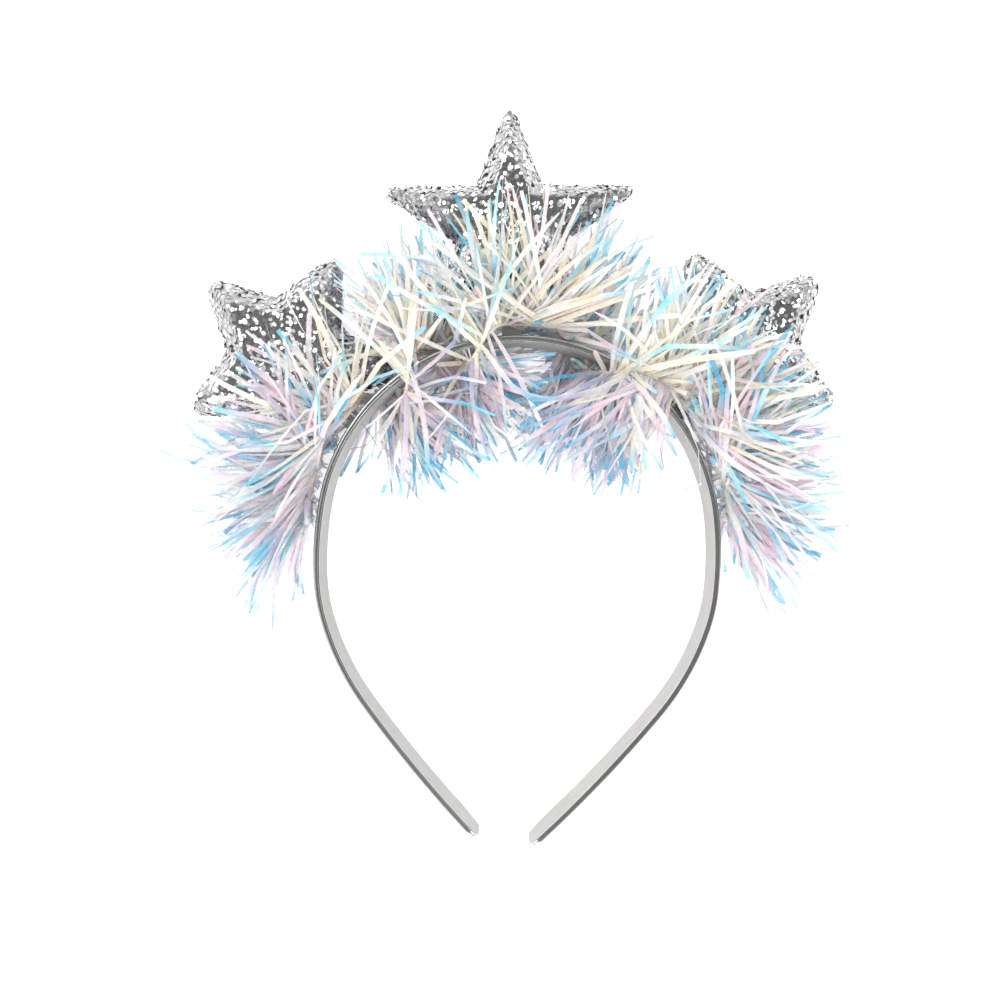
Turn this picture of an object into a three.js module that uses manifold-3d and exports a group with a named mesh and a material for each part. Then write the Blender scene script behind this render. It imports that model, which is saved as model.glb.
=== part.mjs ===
// Party headband: a covered flexible hoop, three padded glitter stars and a garland of cut film tinsel.
// Millimetres. The hoop lies flat: +X to the right, +Y from its mouth to its crown, +Z up from the floor.
import * as THREE from "three";
import { mergeVertices } from "three/addons/utils/BufferGeometryUtils.js";
import Module from "manifold-3d";

// Gap kept between neighbouring pieces
const GAP = 0.35;

// Hoop: the strip's section and its height over the floor
const BAND_WIDTH = 13;
const BAND_THICKNESS = 2;
const BAND_LIFT = 5;
const BAND_SIDES = 8;
const BAND_STATIONS = 84;
const BAND_SQUARENESS = 6;
const BAND_END_DENSITY = 0.6;
// Rounded tongue at each end of the strip, longer along its back edge than along its front edge
const TONGUE_BACK = 9;
const TONGUE_FRONT = 3.5;
const TONGUE_BLUNTNESS = 0.95;
// Step of the places along the hoop that are tried for contact
const HOOP_SAMPLE_STEP = 2;
// Half of the hoop's centreline, from the crown down to a tip
const HALF_HOOP = [
  { part: "crown", radius: 59.2, sweep: 82 },
  { part: "side", radius: 105, sweep: 12.5 },
  { part: "bend", radius: 50, sweep: 12.5 },
  { part: "leg", radius: 80, sweep: 21 },
  { part: "tail", radius: 400, sweep: 8 },
];
const LEFT_LENGTH = 200.6;
const RIGHT_LENGTH = 203.4;

// Padded stars: tip is the visible radius, sharp and notch the radii of the unrounded outline
const STARS = [
  {
    name: "centre", x: -5.4, y: 94.7, turn: -2.6, tip: 39.5, sharp: 43, notch: 17.4, squat: 0.892,
    thickness: 16,
  },
  {
    name: "left", x: -72.4, y: 52.1, turn: -48.2, tip: 32.8, sharp: 37.8, notch: 19.1, squat: 0.99,
    thickness: 14,
  },
  {
    name: "right", x: 65.9, y: 58.8, turn: 44.7, tip: 32.8, sharp: 37.8, notch: 19.1, squat: 0.99,
    thickness: 14,
  },
];
const STAR_POINTS = 5;
const STAR_STEPS_PER_FLANK = 4;
const STAR_TIP_CROWDING = 1.8;
const NOTCH_ROUNDING = 2.5;
// Half of a padded profile from the rim to the flat middle, as shares of outline and half thickness
const PAD_PROFILE = [
  { outline: 1, height: 0 },
  { outline: 0.93, height: 0.54 },
  { outline: 0.8, height: 0.84 },
  { outline: 0.62, height: 0.98 },
  { outline: 0.42, height: 1 },
];

// Plain tab that holds each star off the hoop
const TAB_WIDTH = 6;
const TAB_THICKNESS = 3;
const TAB_HOOP_SLACK = 0.9;
// A star's outline slants, so strips keep this many times their margin from it
const STAR_MARGIN_FACTOR = 1.3;

// Garland: a thin core laid outside the hoop and wound round its crown
const CORE_RADIUS = 0.9;
const CORE_SIDES = 6;
const CORE_STEP = 3;
const CORE_TANGENT_STEP = 0.01;
const CORE_OUT = 4.5;
const CORE_UP = 10;
const CORE_RISE = 3;
const GARLAND_START = -89;
const GARLAND_END = 85;
// How often the core has gone round the strip at places along the hoop: it lies outside the hoop at
// whole turns, behind it at a quarter, inside it at a half and in front of it at three quarters
const WINDING = [
  { at: -53, turns: 0 },
  { at: -36, turns: 0.75 },
  { at: -12, turns: 1.75 },
  { at: -4, turns: 2 },
  { at: 8, turns: 2 },
  { at: 33, turns: 2.75 },
  { at: 50, turns: 3 },
];
// Strips of the garland: how far they reach from the core at places along the hoop
const STRIP_REACH = [
  { at: -89, outer: 37, inner: 9 },
  { at: -66, outer: 38, inner: 20 },
  { at: -46, outer: 38, inner: 33 },
  { at: -24, outer: 38, inner: 36 },
  { at: 0, outer: 44, inner: 28 },
  { at: 24, outer: 36, inner: 36 },
  { at: 46, outer: 40, inner: 38 },
  { at: 66, outer: 40, inner: 26 },
  { at: 85, outer: 38, inner: 9 },
];
const STRIP_COUNT = 636;
const STRIP_HALF_WIDTH = 1.6;
const STRIP_FLATNESS = 0.45;
const STRIP_SIDES = 3;
const STRIP_WIDEST = 0.4;
const STRIP_MIN_LENGTH = 9;
const STRIP_LENGTH_SPREAD = 0.3;
const STRIP_STEEPNESS = 0.62;
const STRIP_STEEPEST = 0.55;
const STRIP_LEAN = 0.75;
const STRIP_FLOOR_GAP = 0.2;
const STRIP_SAMPLES = 9;
// Steps of the even spreads that set each strip's length, lean and turn
const LENGTH_SCATTER = 0.7548;
const LEAN_SCATTER = 0.5698;
const TURN_SCATTER = 0.3247;
const TUFT_LENGTH = 10;
const TUFT_LEAN = 0.6;
// Space under the floor, which presses the lowest strips flat
const FLOOR_SIZE = 400;
const FLOOR_DEPTH = 10;
const GOLDEN_ANGLE = Math.PI * (3 - Math.sqrt(5));
const WELD_DISTANCE = 1e-4;

const SILVER_COVER = { color: 0xc9cacd, roughness: 0.38, metalness: 0.75 };
const SILVER_GLITTER = { color: 0x9a9ca0, roughness: 0.45, metalness: 0.8 };
const GREY_FELT = { color: 0xb4b5b8, roughness: 0.9, metalness: 0 };
const IRIDESCENT_FILM = { color: 0xe6dfe6, roughness: 0.2, metalness: 0.1 };

const wasm = await Module();
wasm.setup();

const bandMiddle = BAND_LIFT + BAND_WIDTH / 2;

/** Drops all but the positions and joins equal vertices, so that the surface is closed. */
function closed(geometry) {
  geometry.deleteAttribute("normal");
  geometry.deleteAttribute("uv");
  return mergeVertices(geometry, WELD_DISTANCE);
}

function toSolid(geometry) {
  return new wasm.Manifold(
    new wasm.Mesh({
      numProp: 3,
      vertProperties: geometry.attributes.position.array,
      triVerts: new Uint32Array(geometry.index.array),
    }),
  );
}

function toGeometry(solid) {
  const { vertProperties, triVerts } = solid.getMesh();
  const geometry = new THREE.BufferGeometry();
  geometry.setAttribute("position", new THREE.BufferAttribute(vertProperties, 3));
  geometry.setIndex(new THREE.BufferAttribute(triVerts, 1));
  return geometry;
}

/** Place on the hoop's centreline at a distance from the crown, positive to the right. */
function hoopAt(distance) {
  const side = distance < 0 ? -1 : 1;
  let left = Math.abs(distance);
  let heading = 0;
  let x = 0;
  let y = HALF_HOOP[0].radius;
  for (const { radius, sweep } of HALF_HOOP) {
    const turn = Math.min(left / radius, THREE.MathUtils.degToRad(sweep));
    x += radius * (Math.sin(heading + turn) - Math.sin(heading));
    y += radius * (Math.cos(heading + turn) - Math.cos(heading));
    heading += turn;
    left -= radius * turn;
  }
  return {
    point: new THREE.Vector3(side * x, y, 0),
    outward: new THREE.Vector3(side * Math.sin(heading), Math.cos(heading), 0),
    along: new THREE.Vector3(Math.cos(heading), -side * Math.sin(heading), 0),
  };
}

/** Bends a unit cylinder along a path: its height runs along the path and its rim becomes the section. */
function sweep(sides, stations, place) {
  const geometry = new THREE.CylinderGeometry(1, 1, 1, sides, stations, false, Math.PI / sides);
  const position = geometry.attributes.position;
  for (let i = 0; i < position.count; i++) {
    const rim = new THREE.Vector2(position.getX(i), -position.getZ(i));
    const p = place(position.getY(i) + 0.5, rim);
    position.setXYZ(i, p.x, p.y, p.z);
  }
  return closed(geometry);
}

/** Rounded rectangle of half size one, reached from a point of the unit circle. */
function squared(c) {
  return Math.sign(c) * Math.abs(c) ** (2 / BAND_SQUARENESS);
}

function bandGeometry() {
  const flat = squared(Math.cos(Math.PI / BAND_SIDES));
  return sweep(BAND_SIDES, BAND_STATIONS, (share, rim) => {
    const crowded = share - (BAND_END_DENSITY * Math.sin(2 * Math.PI * share)) / (2 * Math.PI);
    const distance = THREE.MathUtils.lerp(-LEFT_LENGTH, RIGHT_LENGTH, crowded);
    const toEnd = Math.min(distance + LEFT_LENGTH, RIGHT_LENGTH - distance);
    const tongue = rim.y > 0 ? TONGUE_FRONT : TONGUE_BACK;
    const into = TONGUE_BLUNTNESS * Math.max(0, 1 - toEnd / tongue);
    const narrowing = Math.sqrt(1 - into * into);
    const { point, outward } = hoopAt(distance);
    const up = (squared(rim.y) / flat) * (BAND_WIDTH / 2) * narrowing;
    const out = (squared(rim.x) / flat) * (BAND_THICKNESS / 2);
    return point.addScaledVector(outward, out).setZ(bandMiddle + up);
  });
}

/** Half angle of a star's unrounded point. */
function tipSlope({ sharp, notch }) {
  const half = Math.PI / STAR_POINTS;
  return Math.atan2(notch * Math.sin(half), sharp - notch * Math.cos(half));
}

/** Distance from a star's middle to its rounded outline, at an angle from its upper point. */
function starOutline(star, angle) {
  const half = Math.PI / STAR_POINTS;
  const whole = 2 * half;
  const fromTip = Math.abs(angle - whole * Math.round(angle / whole));
  const { sharp, notch, tip } = star;
  const slope = tipSlope(star);
  const tipRounding = (sharp - tip) / (1 / Math.sin(slope) - 1);
  const tipMiddle = tip - tipRounding;
  const tipEnd = Math.atan2(
    tipRounding * Math.cos(slope),
    tipMiddle + tipRounding * Math.sin(slope),
  );
  if (fromTip < tipEnd) {
    const off = tipMiddle * Math.sin(fromTip);
    return tipMiddle * Math.cos(fromTip) + Math.sqrt(tipRounding ** 2 - off ** 2);
  }
  const notchSlope = slope + half;
  const notchMiddle = notch + NOTCH_ROUNDING / Math.sin(notchSlope);
  const fromNotch = half - fromTip;
  const notchEnd = Math.atan2(
    NOTCH_ROUNDING * Math.cos(notchSlope),
    notchMiddle - NOTCH_ROUNDING * Math.sin(notchSlope),
  );
  if (fromNotch < notchEnd) {
    const off = notchMiddle * Math.sin(fromNotch);
    return notchMiddle * Math.cos(fromNotch) - Math.sqrt(NOTCH_ROUNDING ** 2 - off ** 2);
  }
  const edge = sharp * notch * Math.sin(half);
  return edge / (notch * Math.sin(half - fromTip) + sharp * Math.sin(fromTip));
}

/** Padded star about its own middle, its upper point along +Y and its faces along Z. */
function starGeometry(star) {
  const back = PAD_PROFILE.map((row) => new THREE.Vector2(row.outline, -row.height));
  const front = back.slice(1).map((p) => new THREE.Vector2(p.x, -p.y));
  const profile = [new THREE.Vector2(0, 1), ...front.reverse(), ...back, new THREE.Vector2(0, -1)];
  const flank = Math.PI / STAR_POINTS;
  const geometry = new THREE.LatheGeometry(profile, 2 * STAR_POINTS * STAR_STEPS_PER_FLANK);
  const position = geometry.attributes.position;
  for (let i = 0; i < position.count; i++) {
    const share = Math.hypot(position.getX(i), position.getZ(i));
    const even = Math.atan2(position.getX(i), position.getZ(i));
    const tipAngle = 2 * flank * Math.round(even / (2 * flank));
    const step = Math.abs(even - tipAngle) / flank;
    const angle = tipAngle + Math.sign(even - tipAngle) * flank * step ** STAR_TIP_CROWDING;
    const reach = share * starOutline(star, angle);
    position.setXYZ(
      i,
      reach * Math.sin(angle),
      reach * Math.cos(angle) * star.squat,
      (position.getY(i) * star.thickness) / 2,
    );
  }
  return closed(geometry);
}

/** Value of a table's column at a distance along the hoop, between its rows. */
function tableAt(rows, distance, column) {
  const next = rows.findIndex((row) => row.at >= distance);
  if (next < 0) {
    return rows.at(-1)[column];
  }
  if (next === 0) {
    return rows[0][column];
  }
  const a = rows[next - 1];
  const b = rows[next];
  return THREE.MathUtils.mapLinear(distance, a.at, b.at, a[column], b[column]);
}

/** Where the garland's core runs: along the hoop's outer face, then round the strip. */
function coreAt(distance) {
  const roll = -2 * Math.PI * tableAt(WINDING, distance, "turns");
  const { point, outward, along } = hoopAt(distance);
  point.addScaledVector(outward, CORE_OUT * Math.cos(roll));
  point.z = bandMiddle + CORE_UP * Math.sin(roll) + CORE_RISE * Math.cos(roll) ** 2;
  return { point, outward, along };
}

function coreGeometry(stations) {
  return sweep(CORE_SIDES, stations, (share, rim) => {
    const distance = THREE.MathUtils.lerp(GARLAND_START, GARLAND_END, share);
    const { point, outward } = coreAt(distance);
    const ahead = coreAt(distance + CORE_TANGENT_STEP).point;
    const tangent = ahead.sub(coreAt(distance - CORE_TANGENT_STEP).point).normalize();
    const side = outward.addScaledVector(tangent, -outward.dot(tangent)).normalize();
    const up = new THREE.Vector3().crossVectors(tangent, side);
    return point.addScaledVector(side, CORE_RADIUS * rim.x).addScaledVector(up, CORE_RADIUS * rim.y);
  });
}

const hoopSamples = [];
for (let distance = -LEFT_LENGTH; distance <= RIGHT_LENGTH; distance += HOOP_SAMPLE_STEP) {
  hoopSamples.push(hoopAt(distance));
}

function touchesBand(p, margin) {
  const off = p.z - bandMiddle;
  if (Math.abs(off) > BAND_WIDTH / 2 + margin) {
    return false;
  }
  return hoopSamples.some(({ point, outward, along }) => {
    const dx = p.x - point.x;
    const dy = p.y - point.y;
    const out = dx * outward.x + dy * outward.y;
    const run = dx * along.x + dy * along.y;
    return Math.abs(run) < HOOP_SAMPLE_STEP && Math.abs(out) < BAND_THICKNESS / 2 + margin;
  });
}

/** A point in a star's own frame. */
function inStar(star, p) {
  const turn = THREE.MathUtils.degToRad(star.turn);
  const dx = p.x - star.x;
  const dy = p.y - star.y;
  return {
    x: dx * Math.cos(turn) - dy * Math.sin(turn),
    y: dx * Math.sin(turn) + dy * Math.cos(turn),
    z: p.z - star.thickness / 2,
  };
}

function touchesStar(star, p, margin) {
  const q = inStar(star, p);
  const inTab = Math.abs(q.x) < TAB_WIDTH / 2 + margin && Math.abs(q.z) < TAB_THICKNESS / 2 + margin;
  if (inTab && q.y < 0 && q.y > -tabEnd(star)) {
    return true;
  }
  if (Math.abs(q.z) > star.thickness / 2 + margin) {
    return false;
  }
  const rise = q.y / star.squat;
  const outline = starOutline(star, Math.atan2(q.x, rise));
  return Math.hypot(q.x, rise) < outline + STAR_MARGIN_FACTOR * margin;
}

/** How far below a star's middle the hoop's outer face lies, along the star's own axis. */
function tabEnd(star) {
  const turn = THREE.MathUtils.degToRad(star.turn);
  const axis = new THREE.Vector2(Math.sin(turn), Math.cos(turn));
  const middle = new THREE.Vector2(star.x, star.y);
  const along = middle.dot(axis);
  const outer = HALF_HOOP[0].radius + BAND_THICKNESS / 2;
  return along - Math.sqrt(outer ** 2 - (middle.lengthSq() - along ** 2));
}

function tabGeometry(star) {
  const corner = TAB_WIDTH / 2 / Math.tan(tipSlope(star) + Math.PI / STAR_POINTS);
  const from = (star.notch + corner) * star.squat + GAP;
  const to = tabEnd(star) - TAB_HOOP_SLACK;
  const geometry = new THREE.BoxGeometry(TAB_WIDTH, to - from, TAB_THICKNESS);
  return geometry.translate(0, -(from + to) / 2, 0);
}

/** Repeatable spread of numbers from 0 to 1. */
function scatter(i, step) {
  return (i * step) % 1;
}

/** One flat tapered strip from the core, or null where it would run into the hoop or a star. */
function stripGeometry(i) {
  const share = (i + 0.5) / STRIP_COUNT;
  const distance = THREE.MathUtils.lerp(GARLAND_START, GARLAND_END, share);
  const { point, outward, along } = coreAt(distance);
  const round = i * GOLDEN_ANGLE;
  const side = Math.cos(round) < 0 ? "inner" : "outer";
  const spread = 1 - STRIP_LENGTH_SPREAD * scatter(i, LENGTH_SCATTER);
  const length = tableAt(STRIP_REACH, distance, side) * spread;
  const toEnd = Math.min(distance - GARLAND_START, GARLAND_END - distance);
  const tuft = Math.max(0, 1 - toEnd / TUFT_LENGTH) * Math.sign(distance) * TUFT_LEAN;
  const lean = STRIP_LEAN * (2 * scatter(i, LEAN_SCATTER) - 1) + tuft;
  const direction = outward.clone().multiplyScalar(Math.cos(round));
  direction.addScaledVector(along, lean);
  direction.z = STRIP_STEEPNESS * Math.sin(round);
  direction.normalize();
  const lowest = (STRIP_FLOOR_GAP - point.z) / length;
  direction.z = THREE.MathUtils.clamp(direction.z, lowest, STRIP_STEEPEST);
  const level = Math.sqrt(1 - direction.z ** 2) / Math.hypot(direction.x, direction.y);
  direction.x *= level;
  direction.y *= level;
  if (length < STRIP_MIN_LENGTH) {
    return null;
  }
  for (let k = 1; k <= STRIP_SAMPLES; k++) {
    const t = k / STRIP_SAMPLES;
    const p = point.clone().addScaledVector(direction, length * t);
    const margin = GAP + STRIP_HALF_WIDTH * (1 - t);
    if (touchesBand(p, margin) || STARS.some((star) => touchesStar(star, p, margin))) {
      return null;
    }
  }
  const lance = [
    new THREE.Vector2(0, 0),
    new THREE.Vector2(STRIP_HALF_WIDTH, STRIP_WIDEST * length),
    new THREE.Vector2(0, length),
  ];
  const strip = new THREE.LatheGeometry(lance, STRIP_SIDES);
  strip.scale(1, 1, STRIP_FLATNESS).rotateY(Math.PI * scatter(i, TURN_SCATTER));
  const turn = new THREE.Quaternion().setFromUnitVectors(new THREE.Vector3(0, 1, 0), direction);
  strip.applyQuaternion(turn).translate(point.x, point.y, point.z);
  return closed(strip);
}

function garlandGeometry() {
  const stations = Math.round((GARLAND_END - GARLAND_START) / CORE_STEP);
  let garland = toSolid(coreGeometry(stations));
  for (let i = 0; i < STRIP_COUNT; i++) {
    const strip = stripGeometry(i);
    if (strip) {
      garland = garland.add(toSolid(strip));
    }
  }
  const floor = new THREE.BoxGeometry(FLOOR_SIZE, FLOOR_SIZE, FLOOR_DEPTH);
  floor.translate(0, 0, -FLOOR_DEPTH / 2);
  const rested = garland.subtract(toSolid(closed(floor)));
  // The outer surface alone, without the small pockets shut in between strips
  const [outer] = rested.decompose().sort((a, b) => b.volume() - a.volume());
  return toGeometry(outer);
}

function piece(name, geometry, finish) {
  const mesh = new THREE.Mesh(geometry, new THREE.MeshStandardMaterial(finish));
  mesh.name = name;
  return mesh;
}

const headband = new THREE.Group();
headband.add(piece("band", bandGeometry(), SILVER_COVER));
headband.add(piece("tinsel_garland", garlandGeometry(), IRIDESCENT_FILM));
for (const star of STARS) {
  const mounted = new THREE.Group();
  mounted.add(piece(`star_${star.name}`, starGeometry(star), SILVER_GLITTER));
  mounted.add(piece(`star_tab_${star.name}`, tabGeometry(star), GREY_FELT));
  mounted.position.set(star.x, star.y, star.thickness / 2);
  mounted.rotation.z = -THREE.MathUtils.degToRad(star.turn);
  headband.add(mounted);
}

// The part's origin is under the middle of its outline, at floor level
const outline = new THREE.Box3().setFromObject(headband, true);
const middle = outline.getCenter(new THREE.Vector3());
headband.position.set(-middle.x, -middle.y, -outline.min.z);

export default headband;
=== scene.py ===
"""Party headband: a silver covered hoop, three glitter stars and a garland of film tinsel."""

import logging
import math
from dataclasses import astuple, dataclass
from enum import Enum

import bmesh
import bpy
import numpy as np
from mathutils import Matrix, Vector


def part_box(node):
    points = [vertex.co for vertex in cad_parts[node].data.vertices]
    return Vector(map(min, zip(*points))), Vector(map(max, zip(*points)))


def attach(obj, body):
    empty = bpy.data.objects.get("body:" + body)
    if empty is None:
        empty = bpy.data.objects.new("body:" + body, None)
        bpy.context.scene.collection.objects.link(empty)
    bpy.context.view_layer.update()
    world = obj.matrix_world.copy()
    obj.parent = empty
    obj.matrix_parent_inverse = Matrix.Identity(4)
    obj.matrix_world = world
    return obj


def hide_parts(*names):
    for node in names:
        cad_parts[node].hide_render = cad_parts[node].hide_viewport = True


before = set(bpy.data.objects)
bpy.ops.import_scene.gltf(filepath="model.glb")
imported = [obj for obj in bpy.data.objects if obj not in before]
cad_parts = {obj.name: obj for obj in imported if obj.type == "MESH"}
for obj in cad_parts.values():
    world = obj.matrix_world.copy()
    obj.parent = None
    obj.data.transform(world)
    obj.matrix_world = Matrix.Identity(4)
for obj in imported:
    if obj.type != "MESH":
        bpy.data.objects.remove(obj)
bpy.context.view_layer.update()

ROOT = "root"
MM = 0.001
WELD = 0.001 * MM
TINY = 1e-12
ROWS_AT_ONCE = 4000
UP = np.array((0.0, 0.0, 1.0))
MID_GREY = (0.5, 0.5, 0.5)
WHITE = (1.0, 1.0, 1.0, 1.0)
NOISE_LOW = 0.3
NOISE_HIGH = 0.7
LOG = logging.getLogger("headband")

Array = np.ndarray
Chance = np.random.Generator
Colour = tuple[float, float, float, float]
Material = bpy.types.Material
Mesh = bpy.types.Mesh
Piece = bpy.types.Object
Socket = bpy.types.NodeSocket


class Slot(Enum):
    """The record's material slots."""

    COVER = "cover"
    FILM = "film"
    GLITTER = "glitter"
    FELT = "felt"


class Attribute(Enum):
    """Mesh attributes that carry a look from the shape to its material."""

    FILM = "film_tint"
    FLAKE = "flake_tone"


class Tint(Enum):
    """Colours that the film shows, in linear light: partly the film's own colours, partly its
    iridescent reflection painted in.
    """

    WHITE = (0.88, 0.88, 0.86)
    CREAM = (0.90, 0.84, 0.68)
    PEACH = (0.92, 0.75, 0.55)
    PINK = (0.89, 0.66, 0.75)
    LILAC = (0.62, 0.57, 0.75)
    CYAN = (0.20, 0.66, 0.83)
    SKY = (0.03, 0.37, 0.58)
    SLATE = (0.26, 0.34, 0.50)


class Zone(Enum):
    """Which way a strip of the garland points."""

    FRONT = "front"
    SIDE = "side"
    INNER = "inner"


Shares = dict[Tint, float]

# Tints near the cord, midway and at the tip for each zone. Partly the film's own colours, partly
# painted iridescent reflection: cream and white on strips that rise in front as if top-lit, blue
# and slate on strips that reach into the hoop and towards the tips.
TINT_SHARES: dict[Zone, tuple[Shares, Shares, Shares]] = {
    Zone.FRONT: (
        {Tint.CREAM: 5, Tint.PEACH: 3, Tint.WHITE: 5, Tint.PINK: 0.5},
        {Tint.WHITE: 6, Tint.CREAM: 4, Tint.PEACH: 1, Tint.PINK: 1, Tint.CYAN: 1},
        {Tint.WHITE: 4, Tint.CREAM: 2, Tint.CYAN: 2, Tint.SKY: 2, Tint.PINK: 2},
    ),
    Zone.SIDE: (
        {Tint.WHITE: 7, Tint.CREAM: 2, Tint.PINK: 3},
        {Tint.PINK: 4, Tint.WHITE: 6, Tint.CYAN: 1.5, Tint.LILAC: 1, Tint.SKY: 1},
        {Tint.SKY: 3, Tint.CYAN: 2, Tint.PINK: 2, Tint.WHITE: 4},
    ),
    Zone.INNER: (
        {Tint.WHITE: 4, Tint.PINK: 2, Tint.CREAM: 1.5, Tint.LILAC: 1.5},
        {
            Tint.PINK: 4,
            Tint.LILAC: 2,
            Tint.WHITE: 5,
            Tint.SKY: 2,
            Tint.SLATE: 0.3,
            Tint.CREAM: 1.5,
        },
        {
            Tint.SKY: 4.5,
            Tint.LILAC: 1.5,
            Tint.CYAN: 2,
            Tint.SLATE: 0.5,
            Tint.WHITE: 3.5,
            Tint.PINK: 1.5,
        },
    ),
}


class Graph:
    """A shader tree that is filled node by node."""

    def __init__(self, tree: bpy.types.NodeTree) -> None:
        """Starts from an empty tree."""
        self.tree = tree
        tree.nodes.clear()

    def add(self, kind: str, inputs: dict | None = None, **settings: object) -> bpy.types.Node:
        """Adds a node.

        Args:
            kind: the node's type name.
            inputs: sockets to feed, each with a value or another node's output.
            settings: the node's own properties.

        Returns:
            The new node.
        """
        node = self.tree.nodes.new(kind)
        for name, value in settings.items():
            setattr(node, name, value)
        for socket, value in (inputs or {}).items():
            self.feed(node.inputs[socket], value)
        return node

    def feed(self, socket: Socket, value: object) -> None:
        """Links an output to a socket, or sets the socket's own value.

        Args:
            socket: the socket to feed.
            value: another node's output, or a plain value.
        """
        if isinstance(value, Socket):
            self.tree.links.new(value, socket)
        else:
            socket.default_value = value

    def blend(self, factor: Socket, first: Colour, second: Colour) -> Socket:
        """Mixes two colours by a factor.

        Args:
            factor: how much of the second colour shows.
            first: the colour at nought.
            second: the colour at one.

        Returns:
            The mixed colour.
        """
        node = self.add("ShaderNodeMix", data_type="RGBA")
        colours = [socket for socket in node.inputs if socket.type == "RGBA"]
        self.feed(node.inputs[0], factor)
        for socket, colour in zip(colours, (first, second)):
            self.feed(socket, colour)
        return next(socket for socket in node.outputs if socket.type == "RGBA")

    def ramp(self, factor: Socket, stops: tuple[tuple[float, float], ...]) -> Socket:
        """Grey ramp over a factor.

        Args:
            factor: the value that is looked up.
            stops: place and grey of each stop, in rising order.

        Returns:
            The ramp's colour output.
        """
        node = self.add("ShaderNodeValToRGB", {"Fac": factor})
        elements = node.color_ramp.elements
        while len(elements) < len(stops):
            elements.new(1.0)
        for element, (place, grey) in zip(elements, stops):
            element.position = place
            element.color = (grey, grey, grey, 1.0)
        return node.outputs["Color"]

    def noise(self, scale: float, detail: float = 2.0) -> Socket:
        """Soft noise on the piece's own coordinates.

        Args:
            scale: patches in a metre.
            detail: how many finer layers lie over them.

        Returns:
            The noise's value.
        """
        place = self.add("ShaderNodeTexCoord").outputs["Object"]
        inputs = {"Vector": place, "Scale": scale, "Detail": detail}
        return self.add("ShaderNodeTexNoise", inputs).outputs["Fac"]

    def bump(self, height: Socket, strength: float, depth: float) -> Socket:
        """The surface's normal, roughened by a height."""
        inputs = {"Strength": strength, "Distance": depth, "Height": height}
        return self.add("ShaderNodeBump", inputs).outputs["Normal"]

    def vector(self, operation: str, inputs: dict) -> Socket:
        """The vector that an operation makes of its inputs."""
        return self.add("ShaderNodeVectorMath", inputs, operation=operation).outputs["Vector"]

    def surface(self, inputs: dict) -> None:
        """Adds the main shader and leads it to the material's output."""
        shader = self.add("ShaderNodeBsdfPrincipled", inputs)
        self.add("ShaderNodeOutputMaterial", {"Surface": shader.outputs[0]})


def new_material(name: str) -> tuple[Material, Graph]:
    """An empty node material and its graph.

    Args:
        name: the material's name.

    Returns:
        The material and the graph to fill.
    """
    material = bpy.data.materials.new(name)
    material.use_nodes = True
    return material, Graph(material.node_tree)


@dataclass(frozen=True)
class CoverFinish:
    """Silver leather-look sheet with a fine grain."""

    name: str
    light: Colour
    dark: Colour
    metallic: float
    roughness: float
    grain_strength: float
    grain_scale: float = 2600.0
    grain_detail: float = 3.0
    cloud_scale: float = 140.0
    grain_depth: float = 0.06 * MM

    def material(self) -> Material:
        """Builds the sheet's material.

        Returns:
            The material.
        """
        material, graph = new_material(self.name)
        grain = graph.noise(self.grain_scale, self.grain_detail)
        cloud = graph.noise(self.cloud_scale)
        graph.surface(
            {
                "Base Color": graph.blend(cloud, self.dark, self.light),
                "Metallic": self.metallic,
                "Roughness": self.roughness,
                "Normal": graph.bump(grain, self.grain_strength, self.grain_depth),
            }
        )
        return material


COVER = CoverFinish(
    "silver_cover",
    light=(0.42, 0.42, 0.41, 1.0),
    dark=(0.36, 0.36, 0.35, 1.0),
    metallic=1.0,
    roughness=0.22,
    grain_strength=0.16,
)
LINING = CoverFinish(
    "silver_lining",
    light=(0.36, 0.353, 0.335, 1.0),
    dark=(0.28, 0.274, 0.26, 1.0),
    metallic=0.0,
    roughness=0.5,
    grain_strength=0.08,
)


@dataclass(frozen=True)
class FlakeFinish:
    """Cut metal flakes, each with its own tone; the loose, tilted flakes take the lightest tone as
    a painted glint.
    """

    darkest: float = 0.36
    lightest: float = 0.85
    roughness: float = 0.12

    def material(self) -> Material:
        """Builds the flakes' material.

        Returns:
            The material.
        """
        material, graph = new_material("silver_flakes")
        tone = graph.add("ShaderNodeAttribute", attribute_name=Attribute.FLAKE.value)
        colour = graph.ramp(tone.outputs["Fac"], ((0.0, self.darkest), (1.0, self.lightest)))
        graph.surface({"Base Color": colour, "Metallic": 1.0, "Roughness": self.roughness})
        return material


@dataclass(frozen=True)
class BackingFinish:
    """Fine glitter dust on the fabric under the flakes."""

    dust_scale: float = 2200.0
    dust_tilt: float = 0.14
    darkest: float = 0.22
    lightest: float = 0.38
    roughness: float = 0.28

    def material(self) -> Material:
        """Builds the backing's material.

        Returns:
            The material.
        """
        material, graph = new_material("glitter_backing")
        place = graph.add("ShaderNodeTexCoord").outputs["Object"]
        cells = graph.add("ShaderNodeTexVoronoi", {"Vector": place, "Scale": self.dust_scale})
        grain = cells.outputs["Color"]
        lean = graph.vector("SUBTRACT", {0: grain, 1: MID_GREY})
        lean = graph.vector("SCALE", {0: lean, "Scale": self.dust_tilt})
        facing = graph.add("ShaderNodeNewGeometry").outputs["Normal"]
        leaning = graph.vector("ADD", {0: facing, 1: lean})
        graph.surface(
            {
                "Base Color": graph.ramp(grain, ((0.0, self.darkest), (1.0, self.lightest))),
                "Metallic": 1.0,
                "Roughness": self.roughness,
                "Normal": graph.vector("NORMALIZE", {0: leaning}),
            }
        )
        return material


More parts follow.
